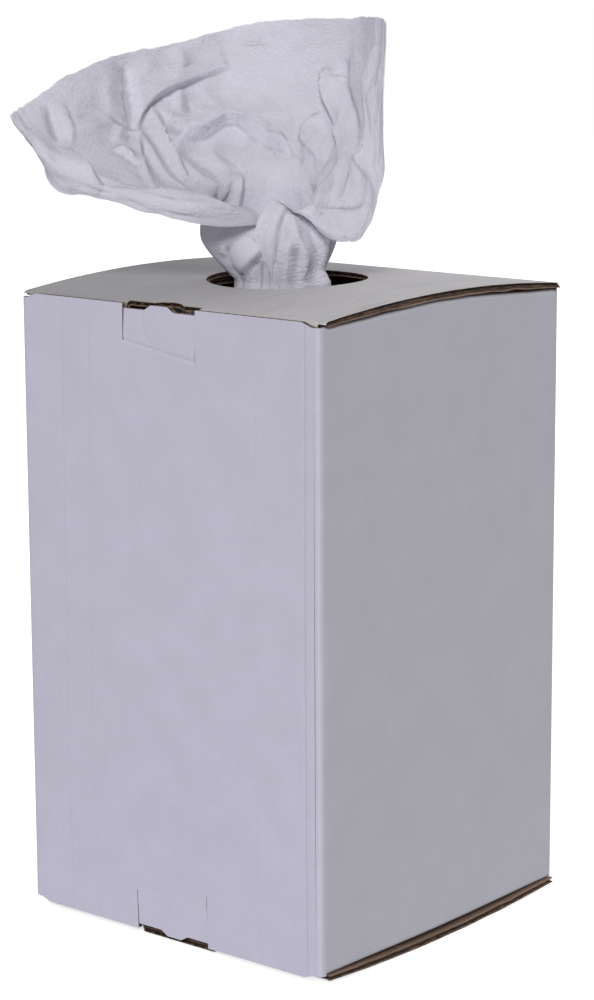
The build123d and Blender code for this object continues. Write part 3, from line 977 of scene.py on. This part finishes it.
# Creases of the wipe: how high each stands and how wide its left and right flanks are, in
# millimetres, and its (s, v) points, seen with s to the right and v up.
CREASES = [
    (8.4, 33.6, 2.4, [(0.31, 0.7), (0.355, 0.78), (0.415, 0.807), (0.505, 0.847)]),
    (-10.0, 5.0, 17.0, [(0.335, 0.96), (0.33, 0.86), (0.322, 0.78), (0.3, 0.7)]),
    (8.5, 22.0, 6.0, [
        (0.355, 0.78), (0.375, 0.66), (0.41, 0.573), (0.495, 0.593), (0.59, 0.433), (0.835, 0.4),
    ]),
    (6.0, 2.4, 12.6, [(0.355, 0.78), (0.35, 0.66), (0.335, 0.52), (0.305, 0.4)]),
    (5.2, 6.3, 6.3, [(0.31, 0.7), (0.3, 0.567), (0.255, 0.393)]),
    (5.2, 3.0, 6.3, [(0.31, 0.68), (0.26, 0.587), (0.175, 0.52)]),
    (6.4, 12.6, 2.1, [(0.243, 0.69), (0.24, 0.65), (0.232, 0.58)]),
    (3.2, 6.3, 6.3, [(0.295, 0.74), (0.255, 0.7)]),
    (6.4, 2.4, 14.7, [(0.17, 0.793), (0.135, 0.72), (0.075, 0.66)]),
    (-4.4, 3.0, 6.3, [(0.195, 0.96), (0.185, 0.887), (0.165, 0.833)]),
    (3.2, 3.0, 6.3, [(0.215, 0.93), (0.205, 0.86), (0.185, 0.8)]),
    (4.0, 10.5, 10.5, [(0.18, 0.847), (0.235, 0.793), (0.285, 0.773)]),
    (7.2, 18.9, 2.4, [(0.685, 0.8), (0.68, 0.753), (0.71, 0.633), (0.825, 0.487)]),
    (-6.0, 6.3, 8.4, [(0.73, 0.853), (0.745, 0.727), (0.87, 0.593)]),
    (5.2, 10.5, 2.4, [(0.69, 0.61), (0.67, 0.573), (0.655, 0.52), (0.665, 0.46), (0.75, 0.36)]),
    (8.0, 21.0, 3.0, [(0.845, 0.913), (0.845, 0.813), (0.91, 0.693), (0.885, 0.553), (0.92, 0.38)]),
    (5.2, 6.3, 6.3, [(0.97, 0.3), (0.9, 0.31), (0.795, 0.345)]),
    (6.0, 2.4, 16.8, [(0.985, 0.29), (0.94, 0.3), (0.92, 0.38), (0.955, 0.587)]),
    (8.0, 6.3, 25.2, [(0.075, 0.66), (0.125, 0.52), (0.135, 0.387), (0.055, 0.273)]),
    (4.0, 8.4, 16.8, [(0.2, 0.373), (0.3, 0.3), (0.435, 0.273), (0.535, 0.273)]),
    (3.2, 6.3, 6.3, [(0.41, 0.793), (0.39, 0.667)]),
    (3.2, 3.0, 8.4, [(0.585, 0.5), (0.6, 0.43), (0.62, 0.36)]),
    (4.0, 3.0, 6.3, [(0.44, 0.3), (0.455, 0.25), (0.47, 0.2)]),
    (4.0, 8.4, 8.4, [(0.12, 0.93), (0.1, 0.85), (0.09, 0.78)]),
    (2.8, 10.5, 10.5, [(0.42, 0.99), (0.43, 0.88)]),
    (2.4, 12.6, 12.6, [(0.56, 1.0), (0.555, 0.91)]),
    (-6.0, 14.7, 3.8, [(0.075, 0.167), (0.095, 0.127), (0.145, 0.073)]),
    (-3.6, 6.3, 3.0, [(0.16, 0.18), (0.19, 0.153), (0.195, 0.127)]),
    (4.0, 6.3, 6.3, [(0.07, 0.12), (0.085, 0.0)]),
    (-5.2, 6.3, 6.3, [(0.925, 0.24), (0.92, 0.18), (0.925, 0.133), (0.915, 0.03)]),
    (-6.0, 6.3, 8.4, [(0.925, 0.24), (0.905, 0.18), (0.89, 0.12), (0.885, 0.0)]),
    (3.2, 3.0, 3.0, [(0.95, 0.113), (0.93, 0.0)]),
    (-4.0, 8.4, 8.4, [(0.86, 0.22), (0.85, 0.12), (0.84, 0.0)]),
]


def crease_line(points):
    """Close-set (s, v) places along a crease, eased through its points."""
    steps = 40 * (len(points) - 1)
    rows = [[point[axis] for point in points] for axis in (0, 1)]
    return [tuple(eased(row, i / steps) for row in rows) for i in range(steps + 1)]


def crease_lifts(spots, places):
    """How far all the creases together lift each point, from its (s, v) and its place."""
    lifts = [0.0] * len(spots)
    for height, left_width, right_width, points in CREASES:
        line = crease_line(points)
        last = len(line) - 1
        tree = KDTree(len(line))
        for index, (s, v) in enumerate(line):
            tree.insert(wipe_point(s, v), index)
        tree.balance()
        low_s, high_s = min(p[0] for p in points) - 0.15, max(p[0] for p in points) + 0.15
        for index, (s, v) in enumerate(spots):
            if not low_s < s < high_s:
                continue
            _, near, distance = tree.find(places[index])
            ahead, behind = line[min(near + 1, last)], line[max(near - 1, 0)]
            run = (ahead[0] - behind[0]) * WIPE_WIDTH, (ahead[1] - behind[1]) * WIPE_LENGTH
            aside = (s - line[near][0]) * WIPE_WIDTH, (v - line[near][1]) * WIPE_LENGTH
            width = left_width if run[0] * aside[1] > run[1] * aside[0] else right_width
            fade = max(0.0, math.sin(math.pi * near / last)) ** 0.9
            lifts[index] += height * MM * fade * max(0.0, 1 - distance / (width * MM)) ** 1.25
    return lifts


def crumple(s, v):
    """Small flat facets with sharp ridges between them, more to the left and by the knot."""
    open_cloth = smooth_step(0.26, 0.40, v) * (1 - 0.5 * smooth_step(0.80, 1.0, v))
    calm = smooth_step(0.42, 0.55, s) * (1 - smooth_step(0.80, 0.90, s)) * smooth_step(0.55, 0.75, v)
    bent_s, bent_v = s + 0.03 * wobble(s * 8, v * 5, 11.0), v + 0.05 * wobble(s * 7, v * 6, 13.0)
    broad = 0.28 - abs(wobble(bent_s * 9, bent_v * 4.5 - bent_s * 3, 21.0))
    small = 0.25 - abs(wobble(bent_s * 26 + bent_v * 6, bent_v * 10, 31.0))
    return open_cloth * (1 - 0.75 * calm) * (6.5 * MM * broad + 1.2 * MM * small)


def soft_lumps(s, v):
    """The slack of the open cloth between its creases."""
    open_cloth = smooth_step(0.30, 0.55, v)
    return open_cloth * (1.5 * MM * wobble(s * 11, v * 6, 2.0) + 0.6 * MM * wobble(s * 31, v * 15, 5.0))


def move_along_normals(piece, distances):
    """Move each point of the piece along its own normal."""
    piece.data.update()
    normals = [vertex.normal.copy() for vertex in piece.data.vertices]
    for vertex, normal, distance in zip(piece.data.vertices, normals, distances):
        vertex.co += normal * distance


def finish_cloth(sheet):
    """Give a shaped sheet of cloth its thickness, material and shading."""
    apply_modifier(sheet, "SOLIDIFY", thickness=CLOTH_THICK, offset=0)
    sheet.data.materials.append(cloth)
    shade_smooth(sheet, 80)
    return sheet


def pulled_wipe():
    """The cloth as a grid, relaxed a little by simulation, then creased and given its thickness."""
    wipe = grid("pulled_wipe", WIPE_COLUMNS, WIPE_ROWS, (WIPE_WIDTH, WIPE_LENGTH))
    pins = wipe.vertex_groups.new(name="held")
    spots = [(vertex.co.x + 0.5, vertex.co.y + 0.5) for vertex in wipe.data.vertices]
    places = [wipe_point(s, v) for s, v in spots]
    lifts = crease_lifts(spots, places)
    for vertex, place, (s, v) in zip(wipe.data.vertices, places, spots):
        vertex.co = from_photo_axes(place)
        held = max(1 - smooth_step(0.30, 0.50, v), 0.10)
        pins.add([vertex.index], held, "REPLACE")
    move_along_normals(wipe, [soft_lumps(s, v) for s, v in spots])
    relax(wipe)
    move_along_normals(wipe, [lift + crumple(s, v) for lift, (s, v) in zip(lifts, spots)])
    for vertex, (s, v) in zip(wipe.data.vertices, spots):
        tear = smooth_step(0.93, 1.0, v)
        vertex.co.z += tear * (1.5 * MM * wobble(s * 24, 4.0) + 1.1 * MM * wobble(s * 75, 9.0))
    return finish_cloth(wipe)


CLOTH_SETTINGS = {
    "quality": 6,
    "mass": 0.12,
    "tension_stiffness": 14,
    "compression_stiffness": 14,
    "shear_stiffness": 5,
    "bending_stiffness": 0.25,
    "shrink_min": -0.022,
    "vertex_group_mass": "held",
    "pin_stiffness": 0.6,
}


def relax(wipe):
    """Cloth that is a little larger than its shape, so that it buckles into soft wrinkles."""
    pick(wipe)
    drape = wipe.modifiers.new("Cloth", "CLOTH")
    for name, value in CLOTH_SETTINGS.items():
        setattr(drape.settings, name, value)
    drape.settings.effector_weights.gravity = 0.10
    drape.point_cache.frame_start = 1
    drape.point_cache.frame_end = 30
    drape.collision_settings.use_collision = False
    for step in range(1, RELAX_STEPS + 1):
        bpy.context.scene.frame_set(step)
    bpy.ops.object.modifier_apply(modifier=drape.name)


wipe = pulled_wipe()
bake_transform(wipe)
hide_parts("pulled_sheet")


# The strand of web between the roll's innermost turn and the wipe in the hole
STRAND_WIDTH = 0.20
STRAND_LENGTH = 235.0 * MM
STRAND_WAIST = 10.0 * MM
CORE_RADIUS = 40.0 * MM


def strand_point(s, down):
    """A point of the gathered strand: the wipe's own section at the hole, a rope under it, and
    a flatter end against the roll's innermost turn."""
    top = neck_point(s, 0.0)
    bearing = neck_bearing(s, 0.0)
    twist = bearing + 1.6 * down
    fold = 1 + 0.20 * neck_pleat(bearing + 0.6)
    waist = smooth_step(0.0, 0.22, down)
    lean = smooth_step(0.1, 1.0, down) * (CORE_RADIUS - 0.5 * STRAND_WAIST - pinch.x)
    across = STRAND_WAIST * (1 - 0.35 * down)
    deep = STRAND_WAIST * (0.85 + 0.1 * down)
    section = Vector((across * math.cos(twist), deep * math.sin(twist), 0))
    point = top.lerp(Vector((pinch.x + lean, 0, top.z)) + fold * section, waist)
    point.z = top.z - down * STRAND_LENGTH
    return point


def web_strand():
    """The strand as a rolled sheet."""
    strand = grid("web_strand", 96, 90, (STRAND_WIDTH, STRAND_LENGTH))
    for vertex in strand.data.vertices:
        s, down = vertex.co.x + 0.5, (0.5 - vertex.co.y) ** 1.8
        vertex.co = from_photo_axes(strand_point(s, down))
    return finish_cloth(strand)


strand = web_strand()
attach(strand, "carton")
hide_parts("web_tail")


# The coreless roll, with the uneven edges of its turns on both ends
TURN_PITCH = 1.5 * MM
TURN_STAGGER = 0.5 * MM
ROLL_STEPS = 112
SIDE_STEPS = 12
SIDE_SLACK = 0.4 * MM


def roll_profile():
    """(radius, height) points of the roll's section, from the bore's foot round its outside."""
    outer = roll_high.x
    turns = round((outer - CORE_RADIUS) / TURN_PITCH)
    foot, head = [], []
    for turn in range(turns):
        inner_r = CORE_RADIUS + turn * TURN_PITCH
        soft_end = 1.2 * MM * smooth_step(turns - 4, turns, turn)
        low = TURN_STAGGER * (1 + wobble(turn * 0.37, 1.0) + 0.5 * wobble(turn * 1.9, 2.0)) + soft_end
        high = TURN_STAGGER * (1 + wobble(turn * 0.31, 7.0) + 0.5 * wobble(turn * 1.7, 8.0)) + soft_end
        for share, drop in ((0.08, 0.5), (0.35, 0.0), (0.7, 0.0), (0.95, 0.5)):
            radius = inner_r + share * TURN_PITCH
            foot.append((radius, roll_low.z + low + drop * MM))
            head.append((radius, roll_high.z - high - drop * MM))
    low, high = foot[-1][1], head[-1][1]
    side = []
    for step in range(1, SIDE_STEPS):
        slack = SIDE_SLACK * (1 - math.cos(6.0 * step))
        side.append((outer - slack, low + (high - low) * step / SIDE_STEPS))
    return foot + side + head[::-1]


def wound_roll():
    """The roll, spun from its section as a closed ring."""
    profile = roll_profile()
    roll = grid("wound_roll", ROLL_STEPS, len(profile))
    for vertex in roll.data.vertices:
        turn = -2 * math.pi * (vertex.co.x + 0.5)
        radius, height = profile[round((vertex.co.y + 0.5) * len(profile)) % len(profile)]
        slack = 1 + 0.006 * math.sin(2 * turn + 0.4) * smooth_step(CORE_RADIUS * 1.6, CORE_RADIUS, radius)
        vertex.co = (radius * slack * math.cos(turn), radius * slack * math.sin(turn), height)
    pick(roll)
    bpy.ops.object.mode_set(mode="EDIT")
    bpy.ops.mesh.select_all(action="SELECT")
    bpy.ops.mesh.remove_doubles(threshold=0.01 * MM)
    bpy.ops.mesh.normals_make_consistent(inside=False)
    bpy.ops.object.mode_set(mode="OBJECT")
    roll.data.materials.append(wound)
    shade_smooth(roll, 50)
    return roll


roll = wound_roll()
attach(roll, "carton")
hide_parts("wipe_roll")


# Floor, world and lamps
FLOOR_WHITE = (0.86, 0.86, 0.86)
FLOOR_DROP = 0.2 * MM
FLOOR_GLOW = 0.70
WORLD_LIGHT = 0.215
deselect_all()
bpy.ops.mesh.primitive_plane_add(size=12, location=(0, 0, -FLOOR_DROP))
floor = bpy.context.object
floor.name = "floor"
pale = Shader("pale_floor")
pale.surface_set(Base_Color=(*FLOOR_WHITE, 1), Roughness=0.9, Specular_IOR_Level=0.1)
seen = pale.seen_rays() * FLOOR_GLOW
glow = pale.node("ShaderNodeEmission", {"Color": (1, 1, 1, 1), "Strength": seen})
pale.join_surface("ShaderNodeAddShader", {1: glow}, 0)
floor.data.materials.append(pale.material)

world = bpy.data.worlds.new("studio")
bpy.context.scene.world = world
world.use_nodes = True
studio = NodeTree(world.node_tree)
background = studio.nodes["Background"]
background.inputs["Color"].default_value = (1, 1, 1, 1)
strength = studio.node("ShaderNodeMapRange", {"Value": studio.seen_rays(), "To Min": WORLD_LIGHT})
studio.feed(background.inputs["Strength"], strength)


def sun(name, towards, power, softness):
    """A soft lamp far away in this direction."""
    data = bpy.data.lights.new(name, "SUN")
    data.energy = power
    data.angle = math.radians(softness)
    add_object(name, data).rotation_euler = Vector(towards).to_track_quat("Z", "Y").to_euler()


sun("window_light", (0.46, -0.72, 0.52), 2.10, 22)
sun("back_fill", (0.0, 0.95, 0.30), 0.9, 30)
